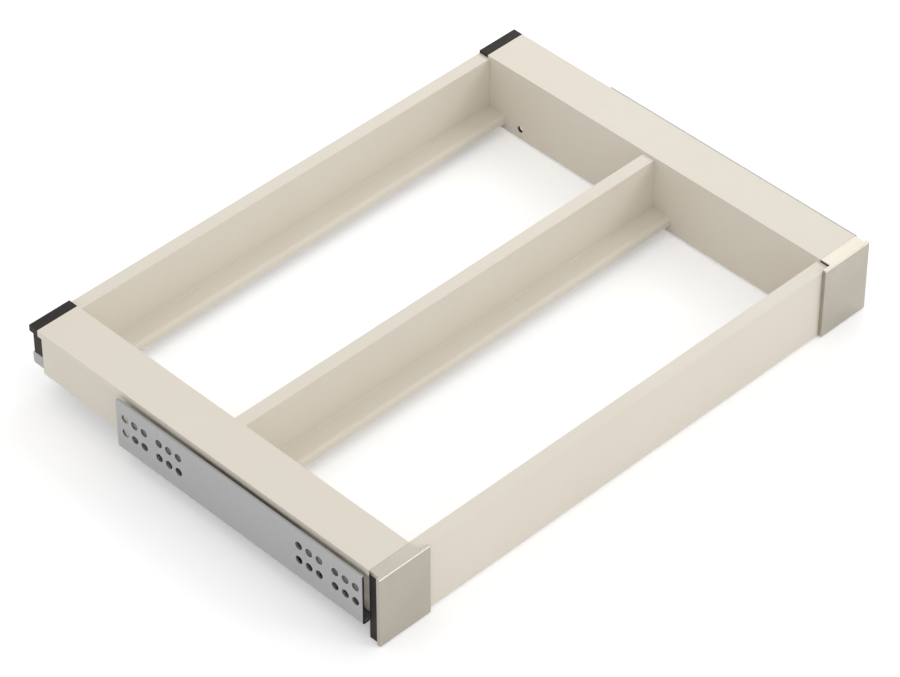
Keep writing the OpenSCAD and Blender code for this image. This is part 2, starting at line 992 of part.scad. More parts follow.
// Ball cage: thin web along the rail's web, with a pocketed flange in each ball row
module ball_cage() {
  color(steel)
    difference() {
      run_along(-cage_length / 2, cage_length / 2) {
        area([cage_web_outer, track_middle - row_rise],
             [cage_web_outer + cage_sheet, track_middle + row_rise]);
        for (side = [-1, 1])
          translate([cage_web_outer, track_middle + side * row_rise - cage_sheet / 2])
            square([cage_flange_end - cage_web_outer, cage_sheet]);
      }
      at_balls()
        cylinder(r = ball_radius + pocket_play, h = 2 * (ball_radius + pocket_play), center = true);
    }
}

module balls() {
  color(steel)
    at_balls()
      sphere(d = ball_diameter);
}

// Draws its children in the outer pair, between cabinet track and middle rail
module in_outer_pair() {
  translate([track_back, 0, 0])
    children();
}

module outer_ball_cage_left() {
  left_side()
    in_outer_pair()
      ball_cage();
}

module outer_balls_left() {
  left_side()
    in_outer_pair()
      balls();
}

module inner_ball_cage_left() {
  left_side()
    as_drawer_rail()
      ball_cage();
}

module inner_balls_left() {
  left_side()
    as_drawer_rail()
      balls();
}

module outer_ball_cage_right() {
  right_side()
    in_outer_pair()
      ball_cage();
}

module outer_balls_right() {
  right_side()
    in_outer_pair()
      balls();
}

module inner_ball_cage_right() {
  right_side()
    as_drawer_rail()
      ball_cage();
}

module inner_balls_right() {
  right_side()
    as_drawer_rail()
      balls();
}

side_member_left();
side_member_right();
front_crossbar();
middle_crossbar();
rear_crossbar();
front_corner_block_left();
front_corner_block_right();
front_corner_cover_left();
front_corner_cover_right();
rear_corner_cap_left();
rear_corner_cap_right();
crossbar_screws();
drawer_rail_left();
drawer_rail_right();
drawer_rail_screws();
drawer_rail_buffers();
cabinet_bracket_left();
cabinet_bracket_right();
cabinet_track_left();
cabinet_track_right();
track_rivets();
track_buffers();
middle_outer_channel_left();
middle_inner_channel_left();
middle_rail_rivets_left();
middle_outer_channel_right();
middle_inner_channel_right();
middle_rail_rivets_right();
outer_ball_cage_left();
outer_balls_left();
inner_ball_cage_left();
inner_balls_left();
outer_ball_cage_right();
outer_balls_right();
inner_ball_cage_right();
inner_balls_right();
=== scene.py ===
import json
import math

import bmesh
import bpy
from mathutils import Matrix, Vector


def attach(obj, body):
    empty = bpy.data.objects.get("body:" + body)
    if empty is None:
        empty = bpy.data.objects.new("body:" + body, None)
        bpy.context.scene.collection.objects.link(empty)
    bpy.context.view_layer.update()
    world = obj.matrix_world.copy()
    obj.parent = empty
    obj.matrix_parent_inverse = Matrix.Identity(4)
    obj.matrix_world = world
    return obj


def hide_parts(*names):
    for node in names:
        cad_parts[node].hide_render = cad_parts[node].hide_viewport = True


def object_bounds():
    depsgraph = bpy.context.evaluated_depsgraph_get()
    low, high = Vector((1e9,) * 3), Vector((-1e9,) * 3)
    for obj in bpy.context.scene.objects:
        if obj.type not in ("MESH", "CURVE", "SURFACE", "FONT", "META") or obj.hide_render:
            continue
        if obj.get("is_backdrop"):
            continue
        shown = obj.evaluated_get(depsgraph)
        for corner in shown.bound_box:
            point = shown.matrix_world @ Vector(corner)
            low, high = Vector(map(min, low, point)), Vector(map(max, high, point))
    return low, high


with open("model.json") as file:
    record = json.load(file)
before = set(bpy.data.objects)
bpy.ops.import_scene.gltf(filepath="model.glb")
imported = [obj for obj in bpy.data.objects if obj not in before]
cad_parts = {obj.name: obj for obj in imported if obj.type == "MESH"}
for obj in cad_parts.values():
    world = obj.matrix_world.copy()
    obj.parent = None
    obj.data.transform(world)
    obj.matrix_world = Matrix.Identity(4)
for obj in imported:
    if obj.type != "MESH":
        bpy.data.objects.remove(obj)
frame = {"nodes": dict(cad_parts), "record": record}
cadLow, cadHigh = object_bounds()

bodyOfNode = {name: body for body, names in frame["record"]["behaviour"]["bodies"].items() for name in names}
slotOfNode = {part["node"]: part["material_slot"] for part in frame["record"]["subparts"]}


# Camera at the photograph's angle, in metres and degrees
cameraView = {
    "azimuth": -44.671,
    "elevation": 41.557,
    "roll": -0.057,
    "distance": 2.652725,
    "target": (-0.038984, -0.038203, 0.057),
    "lens": 166.43,
    "sensorWidth": 36.0,
    "nearClip": 0.05,
    "farClip": 50,
}


def addCamera(view):
    azimuth, elevation, roll = (math.radians(view[key]) for key in ("azimuth", "elevation", "roll"))
    back = Vector((math.sin(azimuth) * math.cos(elevation),
                   -math.cos(azimuth) * math.cos(elevation),
                   math.sin(elevation)))
    right = (-back).cross(Vector((0, 0, 1))).normalized()
    up = back.cross(right)
    turnedRight = right * math.cos(roll) + up * math.sin(roll)
    turnedUp = up * math.cos(roll) - right * math.sin(roll)
    cameraData = bpy.data.cameras.new("photoCamera")
    cameraData.lens = view["lens"]
    cameraData.sensor_width = view["sensorWidth"]
    cameraData.sensor_fit = "HORIZONTAL"
    cameraData.clip_start = view["nearClip"]
    cameraData.clip_end = view["farClip"]
    camera = bpy.data.objects.new("photoCamera", cameraData)
    bpy.context.scene.collection.objects.link(camera)
    turn = Matrix((turnedRight, turnedUp, back)).transposed().to_4x4()
    turn.translation = Vector(view["target"]) + back * view["distance"]
    camera.matrix_world = turn
    bpy.context.scene.camera = camera


addCamera(cameraView)
print("camera placed")


# Small helpers for node trees
def addNode(tree, kind, inputs=None, **settings):
    node = tree.nodes.new(kind)
    for key, value in settings.items():
        setattr(node, key, value)
    for key, value in (inputs or {}).items():
        if isinstance(value, bpy.types.NodeSocket):
            tree.links.new(value, node.inputs[key])
        else:
            node.inputs[key].default_value = value
    return node


def calculate(tree, operation, first, second=None, clamp=False):
    inputs = {0: first}
    if second is not None:
        inputs[1] = second
    return addNode(tree, "ShaderNodeMath", inputs, operation=operation, use_clamp=clamp).outputs[0]


def plus(tree, first, second):
    return calculate(tree, "ADD", first, second)


def minus(tree, first, second):
    return calculate(tree, "SUBTRACT", first, second)


def times(tree, first, second):
    return calculate(tree, "MULTIPLY", first, second)


def over(tree, first, second):
    return calculate(tree, "DIVIDE", first, second)


def vector(tree, **parts):
    return addNode(tree, "ShaderNodeCombineXYZ", parts).outputs["Vector"]


def partsOf(tree, place):
    return addNode(tree, "ShaderNodeSeparateXYZ", {"Vector": place}).outputs


def remap(tree, value, span, low, high):
    return addNode(tree, "ShaderNodeMapRange", {
        "Value": value, "From Min": span[0], "From Max": span[1],
        "To Min": low, "To Max": high}).outputs["Result"]


def startMaterial(name):
    material = bpy.data.materials.new(name)
    material.use_nodes = True
    tree = material.node_tree
    tree.nodes.clear()
    output = addNode(tree, "ShaderNodeOutputMaterial")
    shader = addNode(tree, "ShaderNodeBsdfPrincipled")
    tree.links.new(shader.outputs["BSDF"], output.inputs["Surface"])
    place = addNode(tree, "ShaderNodeTexCoord").outputs["Object"]
    return material, tree, shader, place


def noiseOver(tree, place, scale, detail=2.0, roughness=0.5, stretch=None):
    if stretch:
        place = addNode(tree, "ShaderNodeMapping", {"Vector": place, "Scale": stretch}).outputs["Vector"]
    return addNode(tree, "ShaderNodeTexNoise", {
        "Vector": place, "Scale": scale, "Detail": detail, "Roughness": roughness}).outputs["Fac"]


# The span that a noise mostly keeps to, and the colour sockets of a Mix node among those of the same name
noiseSpan = (0.3, 0.7)
colourSockets = {"dark": 6, "light": 7, "result": 2}


def setTone(tree, shader, look, amount):
    mix = addNode(tree, "ShaderNodeMix", {
        "Factor": amount,
        colourSockets["dark"]: (*look["dark"], 1),
        colourSockets["light"]: (*look["light"], 1)}, data_type="RGBA")
    tree.links.new(mix.outputs[colourSockets["result"]], shader.inputs["Base Color"])


def setRoughness(tree, shader, look, amount, span=noiseSpan):
    tree.links.new(remap(tree, amount, span, *look["roughness"]), shader.inputs["Roughness"])


def setGrain(tree, shader, height, strength, distance):
    grain = addNode(tree, "ShaderNodeBump", {"Height": height, "Strength": strength, "Distance": distance})
    tree.links.new(grain.outputs["Normal"], shader.inputs["Normal"])


# Beige powder coat: fine orange peel over a slow drift of tone
powderCoat = {
    "light": (0.768, 0.712, 0.619),
    "dark": (0.748, 0.690, 0.596),
    "driftScale": 9,
    "driftShare": 0.7,
    "speckScale": 2600,
    "speckShare": 0.3,
    "toneSpan": (0.35, 0.65),
    "roughness": (0.40, 0.50),
    "sheenScale": 120,
    "peelScale": 700,
    "peelStrength": 0.35,
    "peelHeight": 0.00004,
    "specular": 0.4,
}

# Powder coat in the inner corner of a ledge, darkened as painted shade in the crease
creaseShadeLook = {**powderCoat, "light": (0.705, 0.650, 0.560), "dark": (0.685, 0.630, 0.540)}


def beigePowder(look, name="beigePowder"):
    material, tree, shader, place = startMaterial(name)
    drift = noiseOver(tree, place, look["driftScale"], detail=3)
    specks = noiseOver(tree, place, look["speckScale"], detail=1)
    tone = plus(tree, times(tree, drift, look["driftShare"]), times(tree, specks, look["speckShare"]))
    setTone(tree, shader, look, remap(tree, tone, look["toneSpan"], 0, 1))
    setRoughness(tree, shader, look, noiseOver(tree, place, look["sheenScale"]))
    peel = noiseOver(tree, place, look["peelScale"])
    setGrain(tree, shader, peel, look["peelStrength"], look["peelHeight"])
    shader.inputs["Specular IOR Level"].default_value = look["specular"]
    return material


# Satin beige metal of the corner covers: lacquered, brushed along the width
satinMetal = {
    "light": (0.474, 0.441, 0.380),
    "dark": (0.445, 0.411, 0.353),
    "cloudScale": 40,
    "roughness": (0.27, 0.33),
    "brushScale": 160,
    "brushStretch": (0.04, 6, 6),
    "brushStrength": 0.3,
    "brushHeight": 0.0000015,
    "metallic": 0.85,
}

# Rounded upper edge of a cover, lightened as a painted highlight
paintedEdgeHighlightLook = {**satinMetal, "light": (0.618, 0.580, 0.505), "dark": (0.590, 0.552, 0.480)}


def satinBeige(look, name="satinBeige"):
    material, tree, shader, place = startMaterial(name)
    strokes = noiseOver(tree, place, look["brushScale"], detail=4, roughness=0.6,
                        stretch=look["brushStretch"])
    clouds = noiseOver(tree, place, look["cloudScale"])
    setTone(tree, shader, look, remap(tree, clouds, noiseSpan, 0, 1))
    setRoughness(tree, shader, look, strokes)
    setGrain(tree, shader, strokes, look["brushStrength"], look["brushHeight"])
    shader.inputs["Metallic"].default_value = look["metallic"]
    return material


# Black plastic of the corner blocks and caps: fine eroded grain
blackPlasticLook = {
    "light": (0.020, 0.0185, 0.0155),
    "dark": (0.014, 0.0125, 0.0105),
    "cloudScale": 60,
    "roughness": (0.46, 0.60),
    "grainScale": 1500,
    "grainStrength": 0.4,
    "grainHeight": 0.00003,
    "specular": 0.24,
}


def blackPlastic(look):
    material, tree, shader, place = startMaterial("blackPlastic")
    clouds = noiseOver(tree, place, look["cloudScale"])
    setTone(tree, shader, look, remap(tree, clouds, noiseSpan, 0, 1))
    grain = noiseOver(tree, place, look["grainScale"], detail=3, roughness=0.6)
    setRoughness(tree, shader, look, grain)
    setGrain(tree, shader, grain, look["grainStrength"], look["grainHeight"])
    shader.inputs["Specular IOR Level"].default_value = look["specular"]
    return material


# Galvanised sheet: dull zinc with a faint spangle and fine rolling lines
galvanisedLook = {
    "light": (0.448, 0.448, 0.450),
    "dark": (0.420, 0.420, 0.423),
    "spangleScale": 260,
    "spangleShare": 0.5,
    "cloudScale": 30,
    "cloudShare": 0.5,
    "toneSpan": (0.2, 0.8),
    "roughness": (0.38, 0.45),
    "rollingScale": 900,
    "rollingStretch": (1, 0.05, 1),
    "rollingStrength": 0.25,
    "rollingHeight": 0.000005,
    "metallic": 0.9,
}


def galvanised(look, name="galvanised"):
    material, tree, shader, place = startMaterial(name)
    spangle = addNode(tree, "ShaderNodeTexVoronoi", {"Vector": place, "Scale": look["spangleScale"]})
    cell = addNode(tree, "ShaderNodeSeparateColor", {"Color": spangle.outputs["Color"]}).outputs["Red"]
    clouds = noiseOver(tree, place, look["cloudScale"], detail=3)
    tone = plus(tree, times(tree, cell, look["spangleShare"]), times(tree, clouds, look["cloudShare"]))
    setTone(tree, shader, look, remap(tree, tone, look["toneSpan"], 0, 1))
    setRoughness(tree, shader, look, cell, (0, 1))
    rolling = noiseOver(tree, place, look["rollingScale"], detail=3, stretch=look["rollingStretch"])
    setGrain(tree, shader, rolling, look["rollingStrength"], look["rollingHeight"])
    shader.inputs["Metallic"].default_value = look["metallic"]
    return material


# Sheared ends of the sheet and drilled edges: bare metal, streaked through the thickness, and darkened
# further as painted shade
bareCutAndShadeLook = {
    **galvanisedLook,
    "light": (0.130, 0.130, 0.132),
    "dark": (0.075, 0.075, 0.077),
    "roughness": (0.42, 0.58),
    "spangleScale": 900,
    "rollingHeight": 0.00002,
}

# Upper edge of a bracket, greyer than the faces as painted shade in the gap under the flange
topEdgeShadeLook = {
    **galvanisedLook,
    "light": (0.365, 0.362, 0.352),
    "dark": (0.335, 0.332, 0.322),
    "roughness": (0.42, 0.52),
    "spangleScale": 900,
    "rollingHeight": 0.00001,
}

# Sheet of the cabinet tracks: the galvanised sheet a shade darker than that of the brackets, as painted
# shade
shadedTrackSheetLook = {**galvanisedLook, "light": (0.418, 0.418, 0.424), "dark": (0.390, 0.390, 0.396)}

# Zinc-plated fasteners: a little brighter and warmer than the sheet
fastenerLook = {
    **galvanisedLook,
    "light": (0.620, 0.612, 0.590),
    "dark": (0.545, 0.540, 0.525),
    "roughness": (0.24, 0.34),
    "spangleScale": 700,
    "rollingHeight": 0.000006,
}

# Polished bearing balls with a breath of oil
ballLook = {
    "light": (0.780, 0.785, 0.795),
    "dark": (0.730, 0.735, 0.745),
    "roughness": (0.07, 0.16),
    "filmScale": 350,
    "filmSpan": (0.35, 0.65),
}


def ballSteel(look):
    material, tree, shader, place = startMaterial("ballSteel")
    film = noiseOver(tree, place, look["filmScale"], detail=3)
    setTone(tree, shader, look, film)
    setRoughness(tree, shader, look, film, look["filmSpan"])
    shader.inputs["Metallic"].default_value = 1.0
    return material


# Rubber buffers: matt, slightly bloomed
rubberLook = {
    "light": (0.036, 0.035, 0.034),
    "dark": (0.022, 0.022, 0.022),
    "roughness": (0.68, 0.82),
    "bloomScale": 300,
    "grainScale": 1800,
    "grainStrength": 0.4,
    "grainHeight": 0.00003,
}


def blackRubber(look):
    material, tree, shader, place = startMaterial("blackRubber")
    bloom = noiseOver(tree, place, look["bloomScale"], detail=4)
    setTone(tree, shader, look, bloom)
    setRoughness(tree, shader, look, bloom)
    grain = noiseOver(tree, place, look["grainScale"])
    setGrain(tree, shader, grain, look["grainStrength"], look["grainHeight"])
    return material


finishes = {
    "beige_powder_coat": beigePowder(powderCoat),
    "satin_beige_metal": satinBeige(satinMetal),
    "black_plastic": blackPlastic(blackPlasticLook),
    "galvanised_steel": galvanised(galvanisedLook),
    "ball_steel": ballSteel(ballLook),
    "black_rubber": blackRubber(rubberLook),
}
creasePowder = beigePowder(creaseShadeLook, "creasePowder")
polishedEdge = satinBeige(paintedEdgeHighlightLook, "polishedEdge")
cutEdge = galvanised(bareCutAndShadeLook, "cutEdge")
trimmedEdge = galvanised(topEdgeShadeLook, "trimmedEdge")
trackSheet = galvanised(shadedTrackSheetLook, "trackSheet")
platedFastener = galvanised(fastenerLook, "platedFastener")
print("materials made:", len(bpy.data.materials))


# Rigid pieces: the CAD solid with its sharp edges broken, as extrusion, moulding and shearing leave them,
# by a width in metres for each finish
edgeRounding = {
    "beige_powder_coat": 0.00045,
    "satin_beige_metal": 0.00025,
    "black_plastic": 0.00035,
    "galvanised_steel": 0.00016,
    "black_rubber": 0.0004,
}

# How the meshes are cleaned and rounded, in metres and degrees
meshCare = {
    "mergeReach": 0.000002,
    "flatAngle": 0.8,
    "edgeAngle": 38,
    "edgeSegments": 2,
    "flatWeight": 80,
    "sharpAngle": 35,
}


def mergedCopy(node):
    mesh = frame["nodes"][node].data.copy()
    mesh.materials.clear()
    work = bmesh.new()
    work.from_mesh(mesh)
    bmesh.ops.remove_doubles(work, verts=work.verts, dist=meshCare["mergeReach"])
    bmesh.ops.dissolve_limit(work, angle_limit=math.radians(meshCare["flatAngle"]), verts=work.verts,
                             edges=work.edges, use_dissolve_boundaries=False, delimit={"NORMAL"})
    work.to_mesh(mesh)
    work.free()
    return mesh


def dressPiece(node, name, mesh, rounding):
    slot = slotOfNode[node]
    rough = bpy.data.objects.new(name + "Rough", mesh)
    bpy.context.scene.collection.objects.link(rough)
    bevel = rough.modifiers.new("brokenEdges", "BEVEL")
    bevel.width = rounding
    bevel.segments = meshCare["edgeSegments"]
    bevel.limit_method = "ANGLE"
    bevel.angle_limit = math.radians(meshCare["edgeAngle"])
    bevel.use_clamp_overlap = True
    bevel.harden_normals = True
    # Large flat faces keep their own normals beside the roundings
    weighted = rough.modifiers.new("flatFaces", "WEIGHTED_NORMAL")
    weighted.mode = "FACE_AREA"
    weighted.weight = meshCare["flatWeight"]
    rough.data.shade_smooth()
    evaluated = rough.evaluated_get(bpy.context.evaluated_depsgraph_get())
    mesh = bpy.data.meshes.new_from_object(evaluated)
    bpy.data.objects.remove(rough)
    mesh.name = name
    mesh.materials.clear()
    mesh.materials.append(finishes[slot])
    piece = bpy.data.objects.new(name, mesh)
    bpy.context.scene.collection.objects.link(piece)
    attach(piece, bodyOfNode[node])
    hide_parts(node)
    return piece


def camel(node):
    first, *rest = node.split("_")
    return first + "".join(word.capitalize() for word in rest)


dressedNodes = [
    "side_member_left", "side_member_right", "front_crossbar", "middle_crossbar", "rear_crossbar",
    "front_corner_block_left", "front_corner_block_right",
    "front_corner_cover_left", "front_corner_cover_right",
    "rear_corner_cap_left", "rear_corner_cap_right", "cabinet_track_left", "cabinet_track_right",
    "drawer_rail_left", "drawer_rail_right", "track_buffers", "drawer_rail_buffers",
]
pieces = {node: dressPiece(node, camel(node), mergedCopy(node), edgeRounding[slotOfNode[node]])
          for node in dressedNodes}
print("rigid pieces dressed:", len(pieces))


# Which faces of a piece take a finish of their own, in metres and as parts of a unit normal
faceLimits = {
    "endDepth": 0.0004,
    "straight": 0.97,
    "slanted": 0.15,
    "creaseLevels": (0.01402, 0.01560),
    "pinHole": (0.1208, 0.0097),
    "boreReach": 0.0027,
}


def paintFaces(piece, material, isChosen):
    mesh = piece.data
    mesh.materials.append(material)
    for face in mesh.polygons:
        if isChosen(face):
            face.material_index = len(mesh.materials) - 1


def showShearedEnds(piece):
    # The sheared ends of brackets and rails show bare steel, darkened further as painted shade
    front = min(vertex.co.y for vertex in piece.data.vertices)
    rear = max(vertex.co.y for vertex in piece.data.vertices)
    paintFaces(piece, cutEdge, lambda face: abs(face.normal.y) > faceLimits["straight"]
               and min(face.center.y - front, rear - face.center.y) < faceLimits["endDepth"])


# A bracket's upper edge takes painted shade
def shadeTopEdge(piece):
    top = max(vertex.co.z for vertex in piece.data.vertices)
    paintFaces(piece, trimmedEdge, lambda face: face.normal.z > faceLimits["straight"]
               and top - face.center.z < faceLimits["endDepth"])


def isRounding(face):
    return face.normal.y < -faceLimits["slanted"] and face.normal.z > faceLimits["slanted"]


def isShadedCrease(face):
    low, high = faceLimits["creaseLevels"]
    slanted = faceLimits["slanted"]
    return low < face.center.z < high and face.normal.z > slanted and abs(face.normal.y) > slanted


def isPinBore(face):
    y, z = faceLimits["pinHole"]
    reach = math.hypot(face.center.y - y, face.center.z - z)
    return reach < faceLimits["boreReach"] and abs(face.normal.x) < 1 - faceLimits["slanted"]


# The covers' rounded upper edges take a painted highlight
for node in ("front_corner_cover_left", "front_corner_cover_right"):
    paintFaces(pieces[node], polishedEdge, isRounding)
# The ledges' inner corners take painted shade
for node in ("front_crossbar", "middle_crossbar", "rear_crossbar"):
    paintFaces(pieces[node], creasePowder, isShadedCrease)
# The pin bores in the side members take the dark cut-edge colour as painted shade
for node in ("side_member_left", "side_member_right"):
    paintFaces(pieces[node], cutEdge, isPinBore)
for node in ("cabinet_track_left", "cabinet_track_right", "drawer_rail_left", "drawer_rail_right"):
    showShearedEnds(pieces[node])
# The cabinet tracks take a darker copy of the galvanised sheet as painted shade
for node in ("cabinet_track_left", "cabinet_track_right"):
    pieces[node].data.materials[0] = trackSheet

# The thin sheet pieces keep their CAD mesh and take the finish of their slot
keptNodes = [name for name in frame["nodes"] if name.endswith(("_channel_left", "_channel_right",
                                                                "_cage_left", "_cage_right"))]
for node in keptNodes:
    materials = frame["nodes"][node].data.materials
    materials.clear()
    materials.append(finishes[slotOfNode[node]])
print("sheet pieces kept:", len(keptNodes))


# Fasteners and balls, one Geometry Nodes tree for each kind and one mesh for each body
def islandBoxes(node):
    work = bmesh.new()
    work.from_mesh(frame["nodes"][node].data)
    bmesh.ops.remove_doubles(work, verts=work.verts, dist=meshCare["mergeReach"])
    seen = set()
    boxes = []
    for start in work.verts:
        if start in seen:
            continue
        seen.add(start)
        waiting = [start]
        corners = []
        while waiting:
            vertex = waiting.pop()
            corners.append(vertex.co.copy())
            for edge in vertex.link_edges:
                other = edge.other_vert(vertex)
                if other not in seen:
                    seen.add(other)
                    waiting.append(other)
        low = Vector([min(corner[i] for corner in corners) for i in range(3)])
        high = Vector([max(corner[i] for corner in corners) for i in range(3)])
        boxes.append((low, high))
    work.free()
    return boxes


def startTree(name, sizes):
    tree = bpy.data.node_groups.new(name, "GeometryNodeTree")
    tree.interface.new_socket("Geometry", in_out="INPUT", socket_type="NodeSocketGeometry")
    for label, value in sizes.items():
        kind = "NodeSocketInt" if isinstance(value, int) else "NodeSocketFloat"
        socket = tree.interface.new_socket(label, in_out="INPUT", socket_type=kind)
        socket.default_value = value
    tree.interface.new_socket("Finish", in_out="INPUT", socket_type="NodeSocketMaterial")
    tree.interface.new_socket("Geometry", in_out="OUTPUT", socket_type="NodeSocketGeometry")
    return tree, addNode(tree, "NodeGroupInput")


def finishTree(tree, given, shape, axis=None):
    # Places the shape at every point, with its Z axis turned inward, and makes it real
    inputs = {"Points": given.outputs["Geometry"], "Instance": shape}
    if axis is not None:
        inputs["Rotation"] = axis
    placed = addNode(tree, "GeometryNodeInstanceOnPoints", inputs).outputs["Instances"]
    real = addNode(tree, "GeometryNodeRealizeInstances", {"Geometry": placed}).outputs["Geometry"]
    smooth = addNode(tree, "GeometryNodeSetShadeSmooth", {"Geometry": real}).outputs["Geometry"]
    finished = addNode(tree, "GeometryNodeSetMaterial",
                       {"Geometry": smooth, "Material": given.outputs["Finish"]}).outputs["Geometry"]
    addNode(tree, "NodeGroupOutput", {"Geometry": finished})
    return tree


def inwardAxis(tree):
    # A point on the left looks along +X and one on the right along -X
    place = addNode(tree, "GeometryNodeInputPosition").outputs["Position"]
    side = calculate(tree, "SIGN", partsOf(tree, place)["X"])
    direction = vector(tree, X=times(tree, side, -1))
    return addNode(tree, "FunctionNodeAlignRotationToVector", {"Vector": direction},
                   axis="Z").outputs["Rotation"]


def transform(tree, shape, **changes):
    return addNode(tree, "GeometryNodeTransform", {"Geometry": shape, **changes}).outputs["Geometry"]


def cylinder(tree, radius, length, sides, rings=1):
    return addNode(tree, "GeometryNodeMeshCylinder", {
        "Vertices": sides, "Side Segments": rings, "Radius": radius, "Depth": length}).outputs["Mesh"]


def turnedBody(tree, radius, length, sides, rings):
    # A cylinder from z = 0 up, with rings for a profile
    body = cylinder(tree, radius, length, sides, rings)
    return transform(tree, body, Translation=vector(tree, Z=over(tree, length, 2)))


def placeAndLevel(tree):
    place = addNode(tree, "GeometryNodeInputPosition").outputs["Position"]
    return place, partsOf(tree, place)["Z"]


def scaleRound(tree, body, place, factor):
    parts = partsOf(tree, place)
    moved = vector(tree, X=times(tree, parts["X"], factor), Y=times(tree, parts["Y"], factor), Z=parts["Z"])
    return addNode(tree, "GeometryNodeSetPosition", {
        "Geometry": body, "Position": moved}).outputs["Geometry"]


def domeFactor(tree, rise, fall):
    # How much of its radius a head keeps at a rise above the start of its dome
    return calculate(tree, "SQRT", minus(tree, 1, times(tree, calculate(tree, "POWER", rise, 2), fall)))


def flareEnd(tree, body, place, fromEnd, head, shank, depth):
    # Widens a turned body from the shank's diameter to the head's over the depth beside an end
    share = calculate(tree, "SUBTRACT", 1, over(tree, fromEnd, depth), clamp=True)
    widest = minus(tree, over(tree, head, shank), 1)
    return scaleRound(tree, body, place, plus(tree, 1, times(tree, share, widest)))


def joined(tree, *shapes):
    join = addNode(tree, "GeometryNodeJoinGeometry")
    for shape in shapes:
        tree.links.new(shape, join.inputs["Geometry"])
    return join.outputs["Geometry"]


def cutAway(tree, body, cutter):
    return addNode(tree, "GeometryNodeMeshBoolean", {"Mesh 1": body, "Mesh 2": cutter},
                   operation="DIFFERENCE", solver="EXACT").outputs["Mesh"]


# Pan-head screw with a cross recess and a running thread
screwSizes = {
    "Head Diameter": 0.0065,
    "Head Height": 0.0025,
    "Shank Diameter": 0.0035,
    "Shank Length": 0.0122,
    "Thread Pitch": 0.0013,
    "Thread Depth": 0.0003,
    "Recess Width": 0.0009,
    "Recess Depth": 0.0014,
}
screwForm = {
    "headSides": 28,
    "headRings": 7,
    "domeStart": 0.25,
    "domeFall": 1.15,
    "recessReach": 0.58,
    "shankSides": 16,
    "shankRings": 72,
}


def screwHead(tree, size):
    head = turnedBody(tree, over(tree, size["Head Diameter"], 2), size["Head Height"],
                      screwForm["headSides"], screwForm["headRings"])
    place, level = placeAndLevel(tree)
    rise = minus(tree, over(tree, level, size["Head Height"]), screwForm["domeStart"])
    rise = calculate(tree, "MAXIMUM", rise, 0)
    head = scaleRound(tree, head, place, domeFactor(tree, rise, screwForm["domeFall"]))
    recess = vector(tree, X=size["Recess Width"],
                    Y=times(tree, size["Head Diameter"], screwForm["recessReach"]),
                    Z=times(tree, size["Recess Depth"], 2))
    bar = addNode(tree, "GeometryNodeMeshCube", {"Size": recess}).outputs["Mesh"]
    top = vector(tree, Z=size["Head Height"])
    for turn in (0, math.pi / 2):
        head = cutAway(tree, head, transform(tree, bar, Translation=top, Rotation=(0, 0, turn)))
    # The head points outward, against the shank
    return transform(tree, head, Rotation=(math.pi, 0, 0))


def screwShank(tree, size):
    shank = turnedBody(tree, over(tree, size["Shank Diameter"], 2), size["Shank Length"],
                       screwForm["shankSides"], screwForm["shankRings"])
    place, level = placeAndLevel(tree)
    parts = partsOf(tree, place)
    angle = calculate(tree, "ARCTAN2", parts["Y"], parts["X"])
    turn = plus(tree, over(tree, level, size["Thread Pitch"]), over(tree, angle, 2 * math.pi))
    groove = times(tree, calculate(tree, "PINGPONG", turn, 0.5), 2)
    depth = over(tree, times(tree, size["Thread Depth"], 2), size["Shank Diameter"])
    return scaleRound(tree, shank, place, minus(tree, 1, times(tree, groove, depth)))


def screwTree(sizes):
    tree, given = startTree("panHeadScrews", sizes)
    size = given.outputs
    screw = joined(tree, screwHead(tree, size), screwShank(tree, size))
    return finishTree(tree, given, screw, inwardAxis(tree))


# Rivet flush with both sheets, with a shallow set mark in its outer face
flushRivetSizes = {"Shank Diameter": 0.004, "Head Diameter": 0.006, "Head Depth": 0.001, "Grip": 0.003}
flushRivetForm = {
    "sides": 28,
    "rings": 12,
    "markSides": 24,
    "markRadius": 0.0011,
    "markDepth": 0.0006,
    "markStart": -0.0002,
}


def flushRivetTree(sizes):
    tree, given = startTree("flushRivets", sizes)
    size = given.outputs
    form = flushRivetForm
    body = turnedBody(tree, over(tree, size["Shank Diameter"], 2), size["Grip"],
                      form["sides"], form["rings"])
    place, level = placeAndLevel(tree)
    nearEnd = calculate(tree, "MINIMUM", level, minus(tree, size["Grip"], level))
    body = flareEnd(tree, body, place, nearEnd,
                    size["Head Diameter"], size["Shank Diameter"], size["Head Depth"])
    mark = addNode(tree, "GeometryNodeMeshCone", {
        "Vertices": form["markSides"], "Radius Top": 0.0, "Radius Bottom": form["markRadius"],
        "Depth": form["markDepth"]}).outputs["Mesh"]
    mark = transform(tree, mark, Translation=(0, 0, form["markStart"]))
    return finishTree(tree, given, cutAway(tree, body, mark), inwardAxis(tree))


# Rivet with a low domed head on each side, around its own middle
domedRivetSizes = {"Shank Diameter": 0.004, "Head Diameter": 0.006, "Head Height": 0.0008, "Grip": 0.0026}
domedRivetForm = {"headSides": 28, "headRings": 4, "domeFall": 0.5, "shankSides": 20}


def domedRivetTree(sizes):
    tree, given = startTree("domedRivets", sizes)
    size = given.outputs
    form = domedRivetForm
    head = turnedBody(tree, over(tree, size["Head Diameter"], 2), size["Head Height"],
                      form["headSides"], form["headRings"])
    place, level = placeAndLevel(tree)
    rise = over(tree, level, size["Head Height"])
    head = scaleRound(tree, head, place, domeFactor(tree, rise, form["domeFall"]))
    lifted = transform(tree, head, Translation=vector(tree, Z=over(tree, size["Grip"], 2)))
    flipped = transform(tree, lifted, Rotation=(math.pi, 0, 0))
    shank = cylinder(tree, over(tree, size["Shank Diameter"], 2), size["Grip"], form["shankSides"])
    return finishTree(tree, given, joined(tree, lifted, flipped, shank), inwardAxis(tree))


# Balls of a cage
ballSizes = {"Ball Diameter": 0.004}
ballForm = {"subdivisions": 4}


